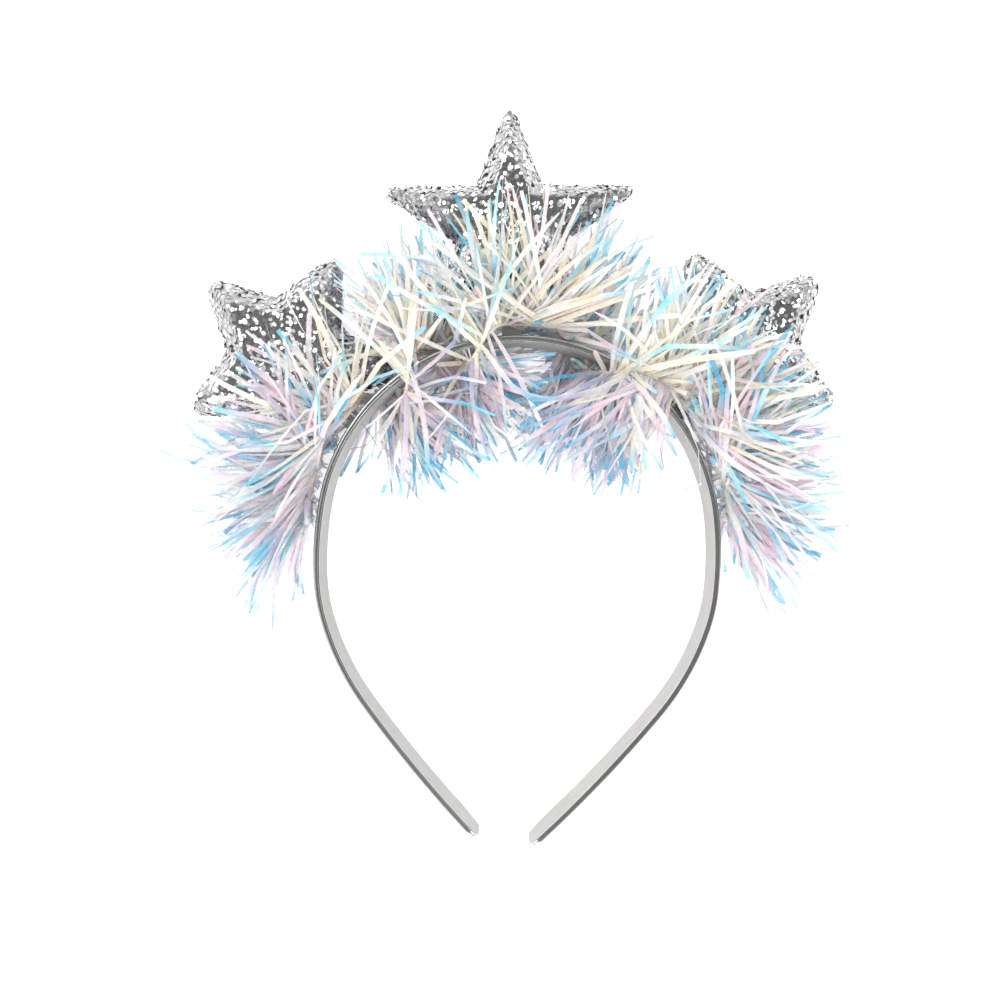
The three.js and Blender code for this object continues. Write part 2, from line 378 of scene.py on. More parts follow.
@dataclass(frozen=True)
class FilmFinish:
    """Thin iridescent film, coloured strip by strip; the colours hold the film's own tints and its
    iridescent reflection, painted in.
    """

    roughness: float = 0.2
    specular: float = 0.6
    coat: float = 0.25
    cover: float = 0.52
    streak_scale: float = 900.0
    streak_dark: float = 0.86
    streak_high: float = 0.6

    def material(self) -> Material:
        """Builds the film's material.

        Returns:
            The material.
        """
        material, graph = new_material("iridescent_film")
        tint = graph.add("ShaderNodeAttribute", attribute_name=Attribute.FILM.value)
        streak = graph.noise(self.streak_scale)
        shade = graph.ramp(streak, ((NOISE_LOW, self.streak_dark), (self.streak_high, 1.0)))
        graph.surface(
            {
                "Base Color": graph.vector("MULTIPLY", {0: tint.outputs["Color"], 1: shade}),
                "Roughness": self.roughness,
                "Specular IOR Level": self.specular,
                "Coat Weight": self.coat,
                "Alpha": self.cover,
            }
        )
        return material


@dataclass(frozen=True)
class FeltFinish:
    """Plain grey felt of the hidden tabs."""

    dark: float = 0.34
    light: float = 0.5
    roughness: float = 0.95
    fuzz_scale: float = 1800.0
    fuzz_detail: float = 4.0
    fuzz_strength: float = 0.5
    fuzz_depth: float = 0.2 * MM

    def material(self) -> Material:
        """Builds the felt's material.

        Returns:
            The material.
        """
        material, graph = new_material("grey_felt")
        fuzz = graph.noise(self.fuzz_scale, self.fuzz_detail)
        graph.surface(
            {
                "Base Color": graph.ramp(fuzz, ((NOISE_LOW, self.dark), (NOISE_HIGH, self.light))),
                "Roughness": self.roughness,
                "Normal": graph.bump(fuzz, self.fuzz_strength, self.fuzz_depth),
            }
        )
        return material


def add_object(name: str, mesh: Mesh) -> Piece:
    """Links a mesh to the scene as an object at the origin.

    Args:
        name: the object's name.
        mesh: its mesh, with its place in it.

    Returns:
        The object.
    """
    piece = bpy.data.objects.new(name, mesh)
    bpy.context.scene.collection.objects.link(piece)
    return piece


def mesh_from_bmesh(name: str, bm: bmesh.types.BMesh, smooth: bool = True) -> Mesh:
    """Closes an edit mesh into mesh data.

    Args:
        name: the mesh's name.
        bm: the edit mesh, which is freed.
        smooth: whether its faces are shaded smooth.

    Returns:
        The mesh.
    """
    bmesh.ops.recalc_face_normals(bm, faces=bm.faces)
    if all(edge.is_manifold for edge in bm.edges) and bm.calc_volume(signed=True) < 0:
        bmesh.ops.reverse_faces(bm, faces=bm.faces)
    mesh = bpy.data.meshes.new(name)
    bm.to_mesh(mesh)
    bm.free()
    mesh.polygons.foreach_set("use_smooth", [smooth] * len(mesh.polygons))
    return mesh


def mesh_from_arrays(name: str, points: Array, groups: list[Array]) -> Mesh:
    """Mesh of many small shapes.

    Args:
        name: the mesh's name.
        points: corner positions, one row each.
        groups: faces as rows of corner numbers, one array for each number of corners.

    Returns:
        The mesh, shaded flat.
    """
    mesh = bpy.data.meshes.new(name)
    loops = np.concatenate([group.ravel() for group in groups])
    totals = np.concatenate([np.full(len(group), group.shape[1]) for group in groups])
    starts = np.concatenate(([0], np.cumsum(totals)[:-1]))
    mesh.vertices.add(len(points))
    mesh.vertices.foreach_set("co", points.astype(np.float32).ravel())
    mesh.loops.add(len(loops))
    mesh.loops.foreach_set("vertex_index", loops.astype(np.int32))
    mesh.polygons.add(len(starts))
    mesh.polygons.foreach_set("loop_start", starts.astype(np.int32))
    mesh.update(calc_edges=True)
    mesh.validate()
    mesh.shade_flat()
    return mesh


def positions(mesh: Mesh) -> Array:
    """Corner positions of a mesh, one row each.

    Args:
        mesh: the mesh to read.

    Returns:
        The positions, in metres.
    """
    flat = np.zeros(len(mesh.vertices) * 3, np.float32)
    mesh.vertices.foreach_get("co", flat)
    return flat.reshape(-1, 3).astype(float)


def move_corners(mesh: Mesh, points: Array) -> None:
    """Puts a mesh's corners at new positions."""
    mesh.vertices.foreach_set("co", points.astype(np.float32).ravel())
    mesh.update()


def unit(rows: Array) -> Array:
    """Each row scaled to length one."""
    return rows / np.maximum(np.linalg.norm(rows, axis=-1, keepdims=True), TINY)


def between(low: float, high: float, share: Array) -> Array:
    """Values that lie by a share of the way between two ends."""
    return low + (high - low) * share


def rings(across: Array, other: Array, sides: int) -> Array:
    """Evenly spaced directions round a ring for each row.

    Args:
        across: the way to each ring's first corner.
        other: the way to its quarter turn.
        sides: corners of a ring.

    Returns:
        The directions by row and corner.
    """
    angles = np.arange(sides) * 2 * math.pi / sides
    return np.cos(angles)[:, None] * across[:, None] + np.sin(angles)[:, None] * other[:, None]


def tube_walls(starts: Array, sides: int) -> Array:
    """Four-sided faces between rings of corners and the rings that follow them.

    Args:
        starts: the number of each ring's first corner.
        sides: corners of a ring.

    Returns:
        The faces as rows of corner numbers.
    """
    first = starts[..., None] + np.arange(sides)
    second = starts[..., None] + (np.arange(sides) + 1) % sides
    return np.stack((first, second, second + sides, first + sides), axis=-1).reshape(-1, 4)


def dress(piece: Piece, material: Material) -> None:
    """Gives a piece its material and lets it ride with the object.

    Args:
        piece: the new piece.
        material: its finish.
    """
    piece.data.materials.clear()
    piece.data.materials.append(material)
    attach(piece, ROOT)


@dataclass(frozen=True)
class Arc:
    """One arc of the hoop's centreline: radius in metres and sweep in degrees."""

    radius: float
    sweep: float

    @property
    def turn(self) -> float:
        """The sweep in radians."""
        return math.radians(self.sweep)

    @property
    def length(self) -> float:
        """The arc's length."""
        return self.radius * self.turn


@dataclass(frozen=True)
class HoopFrames:
    """Places on the hoop's centreline, one row each."""

    points: Array
    outward: Array
    along: Array


@dataclass
class Hoop:
    """The hoop's centreline, measured from the crown and positive to the right."""

    half: tuple[Arc, ...] = (
        Arc(59.2 * MM, 82.0),
        Arc(105.0 * MM, 12.5),
        Arc(50.0 * MM, 12.5),
        Arc(80.0 * MM, 21.0),
        Arc(400.0 * MM, 8.0),
    )
    width: float = 13.0 * MM
    thickness: float = 2.0 * MM
    left_length: float = 200.6 * MM
    right_length: float = 203.4 * MM
    sample_step: float = 1.0 * MM

    def __post_init__(self) -> None:
        """Finds the crown circle's middle from the frame and samples the centreline."""
        low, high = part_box("band")
        crown = self.half[0].radius + self.thickness / 2
        self.middle = np.array(((low.x + high.x) / 2, high.y - crown, (low.z + high.z) / 2))
        self.spots = np.arange(-self.left_length, self.right_length, self.sample_step)
        self.samples = self.frames(self.spots)

    def frames(self, distances: Array) -> HoopFrames:
        """Places at distances from the crown.

        Args:
            distances: lengths along the centreline.

        Returns:
            Points at the strip's mid height, with outward and along directions.
        """
        side = np.where(distances < 0, -1.0, 1.0)
        left = np.abs(distances)
        heading = np.zeros_like(left)
        x = np.zeros_like(left)
        y = np.full_like(left, self.half[0].radius)
        for arc in self.half:
            turn = np.minimum(left / arc.radius, arc.turn)
            x += arc.radius * (np.sin(heading + turn) - np.sin(heading))
            y += arc.radius * (np.cos(heading + turn) - np.cos(heading))
            heading += turn
            left = left - arc.radius * turn
        flat = np.zeros_like(x)
        points = np.stack((side * x, y, flat), axis=-1) + self.middle
        outward = np.stack((side * np.sin(heading), np.cos(heading), flat), axis=-1)
        along = np.stack((np.cos(heading), -side * np.sin(heading), flat), axis=-1)
        return HoopFrames(points, outward, along)

    def locate(self, points: Array) -> tuple[Array, Array]:
        """Distance along the centreline and offset outward of points near it.

        Args:
            points: positions, one row each.

        Returns:
            The distances from the crown and the outward offsets.
        """
        distance = np.empty(len(points))
        offset = np.empty(len(points))
        for start in range(0, len(points), ROWS_AT_ONCE):
            part = slice(start, start + ROWS_AT_ONCE)
            gap = points[part, None, :2] - self.samples.points[None, :, :2]
            near = np.argmin((gap**2).sum(-1), axis=1)
            best = gap[np.arange(len(near)), near]
            distance[part] = self.spots[near] + (best * self.samples.along[near, :2]).sum(-1)
            offset[part] = (best * self.samples.outward[near, :2]).sum(-1)
        return distance, offset

    def touched(self, points: Array, margin: Array) -> Array:
        """Whether each point lies within a margin of the strip.

        Args:
            points: positions, one row each.
            margin: how near is too near, for each point.

        Returns:
            True where a point is too near.
        """
        _, offset = self.locate(points)
        level = np.abs(points[:, 2] - self.middle[2]) < self.width / 2 + margin
        return level & (np.abs(offset) < self.thickness / 2 + margin)


@dataclass
class CoveredBand:
    """The hoop's flexible strip in its silver cover, with a rounded tongue at each end."""

    hoop: Hoop
    cover: CoverFinish
    lining: CoverFinish
    outer_rounding: float = 0.95 * MM
    inner_rounding: float = 0.15 * MM
    rounding_steps: int = 5
    half_rows: tuple[float, ...] = (0.315, 0.63, 0.87, 0.96, 0.976)
    lining_edge: float = 6.15 * MM
    seam_width: float = 0.1 * MM
    seam_depth: float = 0.07 * MM
    lining_step: float = 0.08 * MM
    lining_end: float = 0.4 * MM
    step: float = 1.0 * MM
    back_tongue: float = 9.0 * MM
    front_tongue: float = 3.5 * MM
    bluntness: float = 0.95
    end_rounding: float = 1.0 * MM
    end_thinning: float = 0.8
    pleat_depth: float = 0.2 * MM
    pleat_reach: float = 2.2 * MM
    pleat_fan: float = 0.15
    pleats: float = 9.0
    ripple: float = 0.02 * MM
    ripple_length: float = 7.0 * MM
    # Pace along the hoop, pace across it and phase of each wave.
    ripple_waves: tuple[tuple[float, float, float], ...] = ((2.1, 1.3, 0.0), (3.7, -2.2, 1.0))
    ripple_flatness: int = 6
    on_face: float = 0.99

    @property
    def face_rows(self) -> tuple[float, ...]:
        """Rows of corners across a flat face, as shares of its half width."""
        return (*(-row for row in reversed(self.half_rows)), 0.0, *self.half_rows)

    def build(self) -> Piece:
        """Spins the section along the hoop's arcs and shapes both ends.

        Returns:
            The covered band.
        """
        bm = bmesh.new()
        edges = self.section(bm)
        for start, end, radius in self.runs():
            place = self.hoop.frames(np.array([start]))
            centre = place.points[0] - radius * place.outward[0]
            spun = bmesh.ops.spin(
                bm,
                geom=edges,
                cent=Vector(centre),
                axis=(0.0, 0.0, 1.0),
                angle=-(end - start) / radius,
                steps=max(2, round((end - start) / self.step)),
            )
            edges = [item for item in spun["geom_last"] if isinstance(item, bmesh.types.BMEdge)]
        bmesh.ops.remove_doubles(bm, verts=bm.verts, dist=WELD)
        bmesh.ops.holes_fill(bm, edges=[edge for edge in bm.edges if edge.is_boundary], sides=0)
        mesh = mesh_from_bmesh("band_cover", bm)
        piece = add_object("band_cover", mesh)
        dress(piece, self.cover.material())
        mesh.materials.append(self.lining.material())
        self.shape_ends(mesh)
        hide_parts("band")
        return piece

    def section(self, bm: bmesh.types.BMesh) -> list[bmesh.types.BMEdge]:
        """Draws the strip's rounded section at the left tip.

        Args:
            bm: the edit mesh that takes it.

        Returns:
            The section's edges.
        """
        bmesh.ops.create_grid(bm, x_segments=1, y_segments=1, size=0.5)
        bmesh.ops.scale(bm, vec=(self.hoop.thickness, self.hoop.width, 1.0), verts=bm.verts)
        corners = bm.verts[:]
        roundings = {1: self.outer_rounding, -1: self.inner_rounding}
        for side, rounding in roundings.items():
            bmesh.ops.bevel(
                bm,
                geom=[corner for corner in corners if corner.is_valid and corner.co.x * side > 0],
                offset=rounding,
                affect="VERTICES",
                segments=self.rounding_steps,
                profile=0.5,
                material=-1,
            )
        bmesh.ops.delete(bm, geom=bm.faces[:], context="FACES_ONLY")
        long_edges = [edge for edge in bm.edges if edge.calc_length() > self.hoop.thickness]
        bmesh.ops.subdivide_edges(bm, edges=long_edges, cuts=len(self.face_rows))
        half_thickness, half_width = self.hoop.thickness / 2, self.hoop.width / 2
        for side, rounding in roundings.items():
            face = [v for v in bm.verts if abs(v.co.x - side * half_thickness) < WELD]
            inner = sorted(face, key=lambda v: v.co.y)[1:-1]
            for corner, row in zip(inner, self.face_rows):
                corner.co.y = row * (half_width - rounding)
        self.sew_seams(bm)
        place = self.hoop.frames(np.array([-self.hoop.left_length]))
        out = Vector(place.outward[0])
        up = Vector(UP)
        turn = Matrix((out, up, out.cross(up))).transposed().to_4x4()
        turn.translation = Vector(place.points[0])
        bmesh.ops.transform(bm, matrix=turn, verts=bm.verts)
        return bm.edges[:]

    def sew_seams(self, bm: bmesh.types.BMesh) -> None:
        """Sinks a seam into the middle of both rims of the flat section.

        Args:
            bm: the edit mesh that holds the section.
        """
        level = [v for v in bm.verts if self.hoop.width / 2 - abs(v.co.y) < WELD]
        rims = [edge for edge in bm.edges if all(v in level for v in edge.verts)]
        cut = bmesh.ops.subdivide_edges(bm, edges=rims, cuts=3)
        added = [item for item in cut["geom_inner"] if isinstance(item, bmesh.types.BMVert)]
        for side in (-1, 1):
            rim = [v for v in added if v.co.y * side > 0]
            before, seam, after = sorted(rim, key=lambda v: v.co.x)
            before.co.x = seam.co.x - self.seam_width
            after.co.x = seam.co.x + self.seam_width
            seam.co.y -= side * self.seam_depth

    def runs(self) -> list[tuple[float, float, float]]:
        """Start, end and radius of each arc from the left tip to the right one.

        Returns:
            The runs, measured from the crown.
        """
        found: list[tuple[float, float, float]] = []
        for side, limit in ((-1, self.hoop.left_length), (1, self.hoop.right_length)):
            start = 0.0
            half = []
            for arc in self.hoop.half:
                end = min(start + arc.length, limit)
                if end > start:
                    half.append((start, end, arc.radius))
                start = end
            if side < 0:
                found += [(-end, -start, radius) for start, end, radius in reversed(half)]
            else:
                found += half
        return found

    def shape_ends(self, mesh: Mesh) -> None:
        """Narrows the tongues, pleats their ends, lets the cover ripple and raises the lining.

        Args:
            mesh: the band's mesh, which is changed.
        """
        points = positions(mesh)
        distance, offset = self.hoop.locate(points)
        to_end = np.minimum(distance + self.hoop.left_length, self.hoop.right_length - distance)
        to_end = np.maximum(to_end, 0.0)
        rise = points[:, 2] - self.hoop.middle[2]
        tongue = np.where(rise > 0, self.front_tongue, self.back_tongue)
        into = self.bluntness * np.clip(1 - to_end / tongue, 0, 1)
        narrowed = rise * np.sqrt(1 - into**2)
        share = rise / (self.hoop.width / 2)
        outward = self.hoop.frames(distance).outward
        tip = np.clip(1 - to_end / self.end_rounding, 0, 1)
        thin = np.sqrt(1 - self.end_thinning * tip**2)
        angle = np.arctan2(share, to_end / self.back_tongue + self.pleat_fan)
        pleat = self.pleat_depth * np.sin(self.pleats * angle) * np.exp(-to_end / self.pleat_reach)
        run = distance / self.ripple_length
        ripple = self.ripple * sum(
            np.sin(along * run + across * share + phase)
            for along, across, phase in self.ripple_waves
        )
        ripple *= 1 - np.abs(share) ** self.ripple_flatness
        side = np.clip(offset / (self.hoop.thickness / 2), -1, 1)
        change = offset * (thin - 1) + side * (pleat + ripple)
        lined = (side < -self.on_face) & (np.abs(rise) < self.lining_edge)
        lined &= to_end > self.lining_end
        change -= self.lining_step * lined
        points += outward * change[:, None]
        points[:, 2] = self.hoop.middle[2] + narrowed
        move_corners(mesh, points)
        for polygon in mesh.polygons:
            polygon.material_index = int(all(lined[corner] for corner in polygon.vertices))


@dataclass
class PaddedStar:
    """A stuffed five-pointed star covered with glitter fabric, lying on its back."""

    hoop: Hoop
    name: str
    x: float
    y: float
    turn: float
    tip: float
    sharp: float
    notch: float
    squat: float
    thickness: float
    seed: int
    points: int = 5
    notch_rounding: float = 2.5 * MM
    flake_room: float = 0.3 * MM
    bevel: float = 6.0 * MM
    lip: float = 0.2
    lip_height: float = 0.25
    lens_weld: float = 1e-5
    on_rim: float = 1e-4
    bevel_power: float = 1.05
    profile_steps: int = 24
    spin_steps: int = 240
    tip_crowding: float = 1.6
    voxel: float = 0.9 * MM
    shrink: float = 1.015
    swell: float = 0.35 * MM
    pressure: float = 4.0
    sim_scale: float = 10.0
    sim_frames: int = 20
    sim_quality: int = 6
    veil: float = 1.0
    flakes: int = 6500
    flake_sides: int = 6
    flake_small: float = 0.5 * MM
    flake_large: float = 0.8 * MM
    flake_back: float = 0.35
    flake_floor: float = 0.02 * MM
    loose_on_top: float = 0.3
    loose_on_sides: float = 0.12
    top_facing: float = 0.93
    flat_tilt: float = 0.05
    loose_low: float = 0.4
    loose_high: float = 0.75
    loose_size: float = 1.15
    loose_lift: float = 0.3 * MM
    flake_lift: float = 0.2 * MM
    flat_tone: float = 0.25

    @property
    def node(self) -> str:
        """The CAD node that this star stands for."""
        return f"star_{self.name}"

    @property
    def middle(self) -> Array:
        """The star's middle in the row frame."""
        crown = self.hoop.middle
        return np.array((crown[0] + self.x, crown[1] + self.y, self.thickness / 2))

    @property
    def flank(self) -> float:
        """Angle from a point to the notch beside it, seen from the middle."""
        return math.pi / self.points

    @property
    def slope(self) -> float:
        """Half angle of the unrounded point."""
        across = self.notch * math.sin(self.flank)
        return math.atan2(across, self.sharp - self.notch * math.cos(self.flank))

    @property
    def tip_rounding(self) -> float:
        """Radius that takes the unrounded point down to the tip."""
        return (self.sharp - self.tip) / (1 / math.sin(self.slope) - 1)

    def nearest_tip(self, angle: Array) -> Array:
        """Angle of the point that is nearest to each angle."""
        return 2 * self.flank * np.round(angle / (2 * self.flank))

    def outline(self, angle: Array) -> Array:
        """Distance from the middle to the rounded outline.

        Args:
            angle: angles from the upper point, in radians.

        Returns:
            The distances, in metres.
        """
        from_tip = np.abs(angle - self.nearest_tip(angle))
        from_notch = self.flank - from_tip
        slope, tip_round = self.slope, self.tip_rounding
        tip_middle = self.tip - tip_round
        tip_end = math.atan2(tip_round * math.cos(slope), tip_middle + tip_round * math.sin(slope))
        tip_off = np.minimum(tip_middle * np.sin(from_tip), tip_round)
        at_tip = tip_middle * np.cos(from_tip) + np.sqrt(tip_round**2 - tip_off**2)
        notch_slope, notch_round = slope + self.flank, self.notch_rounding
        notch_middle = self.notch + notch_round / math.sin(notch_slope)
        notch_end = math.atan2(
            notch_round * math.cos(notch_slope),
            notch_middle - notch_round * math.sin(notch_slope),
        )
        notch_off = np.minimum(notch_middle * np.sin(from_notch), notch_round)
        at_notch = notch_middle * np.cos(from_notch) - np.sqrt(notch_round**2 - notch_off**2)
        edge = self.sharp * self.notch * math.sin(self.flank)
        at_edge = edge / (self.notch * np.sin(from_notch) + self.sharp * np.sin(from_tip))
        off_tip = np.where(from_notch < notch_end, at_notch, at_edge)
        return np.where(from_tip < tip_end, at_tip, off_tip)

    def depth(self, x: Array, y: Array) -> Array:
        """How far points of the star's own plane lie inside its outline.

        Args:
            x: places across the upper point's axis.
            y: places along that axis, before the star is squatted.

        Returns:
            The distances to the outline, negative outside it.
        """
        angle = np.arctan2(x, y)
        from_tip = np.abs(angle - self.nearest_tip(angle))
        across = np.hypot(x, y) * np.sin(from_tip)
        along = np.hypot(x, y) * np.cos(from_tip)
        slope, tip_round = self.slope, self.tip_rounding
        to_edge = (self.sharp - along) * math.sin(slope) - across * math.cos(slope)
        past = along - (self.tip - tip_round)
        to_tip = tip_round - np.hypot(across, past)
        return np.where(past > across * math.tan(slope), to_tip, to_edge)

    def pad_height(self, depth: Array) -> Array:
        """Height of the padded face, as a share of the half thickness.

        Args:
            depth: distances inside the outline.

        Returns:
            The shares.
        """
        share = np.clip(depth / self.bevel, 0, 1)
        lip = np.sqrt(1 - (1 - np.minimum(share / self.lip, 1)) ** 2)
        rise = 1 - (1 - share) ** self.bevel_power
        return self.lip_height * lip + (1 - self.lip_height) * rise

    def touched(self, points: Array, margin: Array) -> Array:
        """Whether each point lies within a margin of the star.

        Args:
            points: positions, one row each.
            margin: how near is too near, for each point.

        Returns:
            True where a point is too near.
        """
        turn = math.radians(self.turn)
        gap = points - self.middle
        x = gap[:, 0] * math.cos(turn) - gap[:, 1] * math.sin(turn)
        y = (gap[:, 0] * math.sin(turn) + gap[:, 1] * math.cos(turn)) / self.squat
        inside = self.depth(x, y) + margin
        height = self.pad_height(inside) * self.thickness / 2
        return (inside > 0) & (np.abs(gap[:, 2]) < height + margin)

    def covered(self, points: Array) -> Array:
        """Whether each point lies straight in front of the star.

        Args:
            points: positions, one row each.

        Returns:
            True where the star lies behind a point.
        """
        flat = points.copy()
        flat[:, 2] = self.middle[2]
        return self.touched(flat, np.zeros(len(points)))

    def build(self, flakes: Material, backing: Material) -> list[Piece]:
        """Makes the padded body and its flakes.

        Args:
            flakes: the flakes' material.
            backing: the material of the fabric under them.

        Returns:
            The body and the joined flakes.
        """
        body = add_object(f"{self.node}_pad", self.pad_mesh())
        self.stuff(body)
        dress(body, backing)
        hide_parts(self.node)
        glitter = add_object(f"{self.node}_glitter", self.flake_mesh(body.data))
        dress(glitter, flakes)
        return [body, glitter]

    def pad_mesh(self) -> Mesh:
        """Spins a lens, draws it out to the star's outline and fills it to the padded height.

        Returns:
            The body's mesh.
        """
        bm = bmesh.new()
        lean = np.linspace(-math.pi / 2, math.pi / 2, 2 * self.profile_steps + 1)
        corners = [bm.verts.new((math.cos(turn), 0.0, math.sin(turn))) for turn in lean]
        edges = [bm.edges.new(pair) for pair in zip(corners, corners[1:])]
        bmesh.ops.spin(
            bm,
            geom=corners + edges,
            cent=(0.0, 0.0, 0.0),
            axis=(0.0, 0.0, 1.0),
            angle=2 * math.pi,
            steps=self.spin_steps,
            use_merge=True,
        )
        bmesh.ops.remove_doubles(bm, verts=bm.verts, dist=self.lens_weld)
        mesh = mesh_from_bmesh(f"{self.node}_pad", bm)
        rows = positions(mesh)
        even = np.arctan2(rows[:, 0], rows[:, 1])
        tip_angle = self.nearest_tip(even)
        crowded = self.flank * (np.abs(even - tip_angle) / self.flank) ** self.tip_crowding
        angle = tip_angle + np.sign(even - tip_angle) * crowded
        reach = np.hypot(rows[:, 0], rows[:, 1]) * self.outline(angle)
        x, y = reach * np.sin(angle), reach * np.cos(angle)
        half = self.thickness / 2 - self.flake_room
        z = np.sign(rows[:, 2]) * self.pad_height(np.maximum(self.depth(x, y), 0)) * half
        z[np.abs(rows[:, 2]) < self.on_rim] = 0.0
        local = np.stack((x * self.shrink, y * self.squat * self.shrink, z), axis=-1)
        move_corners(mesh, self.place(local))
        return mesh

    def place(self, local: Array) -> Array:
        """Moves points from the star's own frame to the row frame.

        Args:
            local: points about the star's middle.

        Returns:
            The points in the row frame.
        """
        turn = math.radians(self.turn)
        x = local[:, 0] * math.cos(turn) + local[:, 1] * math.sin(turn)
        y = -local[:, 0] * math.sin(turn) + local[:, 1] * math.cos(turn)
        return np.stack((x, y, local[:, 2]), axis=-1) + self.middle

    def stuff(self, body: Piece) -> None:
        """Gives the body an even mesh, swells it as cloth and smooths it.

        Args:
            body: the padded body, which is changed.
        """
        remesh = body.modifiers.new("even", "REMESH")
        remesh.mode = "VOXEL"
        remesh.voxel_size = self.voxel
        remesh.use_smooth_shade = True
        self.apply_modifiers(body)
        self.inflate(body)
        divide = body.modifiers.new("smooth", "SUBSURF")
        divide.levels = 1
        divide.render_levels = 1
        self.apply_modifiers(body)
        body.data.polygons.foreach_set("use_smooth", [True] * len(body.data.polygons))

    def inflate(self, body: Piece) -> None:
        """Fills the cover with an air pressure, as cloth, and keeps the swollen form.

        Args:
            body: the padded body, whose corners move within the allowed swelling.
        """
        start = positions(body.data)
        centre = self.middle
        move_corners(body.data, (start - centre) * self.sim_scale)
        cloth = body.modifiers.new("cloth", "CLOTH")
        cloth.settings.quality = self.sim_quality
        cloth.settings.use_pressure = True
        cloth.settings.uniform_pressure_force = self.pressure
        cloth.settings.effector_weights.gravity = 0.0
        cloth.point_cache.frame_start = 1
        cloth.point_cache.frame_end = self.sim_frames
        scene = bpy.context.scene
        for number in range(1, self.sim_frames + 1):
            scene.frame_set(number)
        swollen = body.evaluated_get(bpy.context.evaluated_depsgraph_get()).to_mesh()
        end = positions(swollen) / self.sim_scale + centre
        body.modifiers.remove(cloth)
        scene.frame_set(1)
        move = end - start
        move -= move.mean(axis=0)
        size = np.linalg.norm(move, axis=1, keepdims=True)
        move *= np.minimum(1.0, self.swell / np.maximum(size, TINY))
        swelled = start + move
        swelled[:, 2] = np.clip(swelled[:, 2], self.flake_room, self.thickness - self.flake_room)
        move_corners(body.data, swelled)
        most = np.linalg.norm(move, axis=1).max() / MM
        LOG.info("%s swelled by %.2f mm at most", body.name, most)

    @staticmethod
    def apply_modifiers(body: Piece) -> None:
        """Makes the modified mesh the body's own.

        Args:
            body: the piece, which loses its modifiers.
        """
        graph = bpy.context.evaluated_depsgraph_get()
        mesh = bpy.data.meshes.new_from_object(body.evaluated_get(graph))
        body.modifiers.clear()
        body.data = mesh

    def flake_mesh(self, mesh: Mesh) -> Mesh:
        """Scatters cut flakes over the body.

        Args:
            mesh: the body's mesh.

        Returns:
            The joined flakes, each a flat hexagon with a low pointed back.
        """
        rng = np.random.default_rng(self.seed)
        n, sides = self.flakes, self.flake_sides
        mesh.calc_loop_triangles()
        corners = np.zeros(len(mesh.loop_triangles) * 3, np.int32)
        mesh.loop_triangles.foreach_get("vertices", corners)
        triangles = positions(mesh)[corners.reshape(-1, 3)]
        cross = np.cross(triangles[:, 1] - triangles[:, 0], triangles[:, 2] - triangles[:, 0])
        area = np.linalg.norm(cross, axis=1)
        chosen = rng.choice(len(area), n, p=area / area.sum())
        a, b = rng.random((2, n, 1))
        a, b = np.where(a + b > 1, 1 - a, a), np.where(a + b > 1, 1 - b, b)
        tri = triangles[chosen]
        spot = tri[:, 0] + a * (tri[:, 1] - tri[:, 0]) + b * (tri[:, 2] - tri[:, 0])
        normal = unit(cross[chosen])
        on_top = np.abs(normal[:, 2:]) > self.top_facing
        loose_share = np.where(on_top, self.loose_on_top, self.loose_on_sides)
        loose = rng.random((n, 1)) < loose_share
        leaning = between(self.loose_low, self.loose_high, rng.random((n, 1)))
        aside = unit(np.cross(normal, rng.normal(size=(n, 3))))
        near_flat = self.flat_tilt * rng.normal(size=(n, 3))
        facing = unit(normal + np.where(loose, leaning * aside, near_flat))
        spot += facing * (rng.random((n, 1)) * self.flake_lift + loose * self.loose_lift)
        radius = between(self.flake_small, self.flake_large, rng.random((n, 1)) ** 2)
        radius *= np.where(loose, self.loose_size, 1.0)
        across = unit(np.cross(facing, rng.normal(size=(n, 3))))
        rim = spot[:, None] + radius[:, None] * rings(across, np.cross(facing, across), sides)
        back = spot - facing * radius * self.flake_back
        points = np.concatenate((rim, back[:, None]), axis=1)
        points[:, :, 2] = np.maximum(points[:, :, 2], self.flake_floor)
        base = np.arange(n)[:, None] * (sides + 1)
        fronts = base + np.arange(sides)
        backs = [base + np.array([(k + 1) % sides, k, sides]) for k in range(sides)]
        faces = [fronts, np.concatenate(backs)]
        flakes = mesh_from_arrays(f"{self.node}_glitter", points.reshape(-1, 3), faces)
        tone = flakes.attributes.new(Attribute.FLAKE.value, "FLOAT", "POINT")
        # Flat flakes draw a low random tone, which darkens the front faces as painted shade; the
        # loose, tilted flakes all take the lightest tone, a painted glint.
        tones_and_glints = np.where(loose[:, 0], 1.0, rng.random(n) * self.flat_tone)
        tone.data.foreach_set("value", np.repeat(tones_and_glints, sides + 1).astype(np.float32))
        return flakes


@dataclass(frozen=True)
class Reach:
    """How far, in mm, and how full strips stand on both sides of a place along the hoop."""

    at: float
    outer: float
    inner: float
    outer_share: float
    inner_share: float
    inner_front_share: float
    inner_lean: float


@dataclass(frozen=True)
class Strips:
    """Loose strips of film, one row each: the way along each, its widths and its colours."""

    path: Array
    widths: Array
    roll: Array
    tints: Array


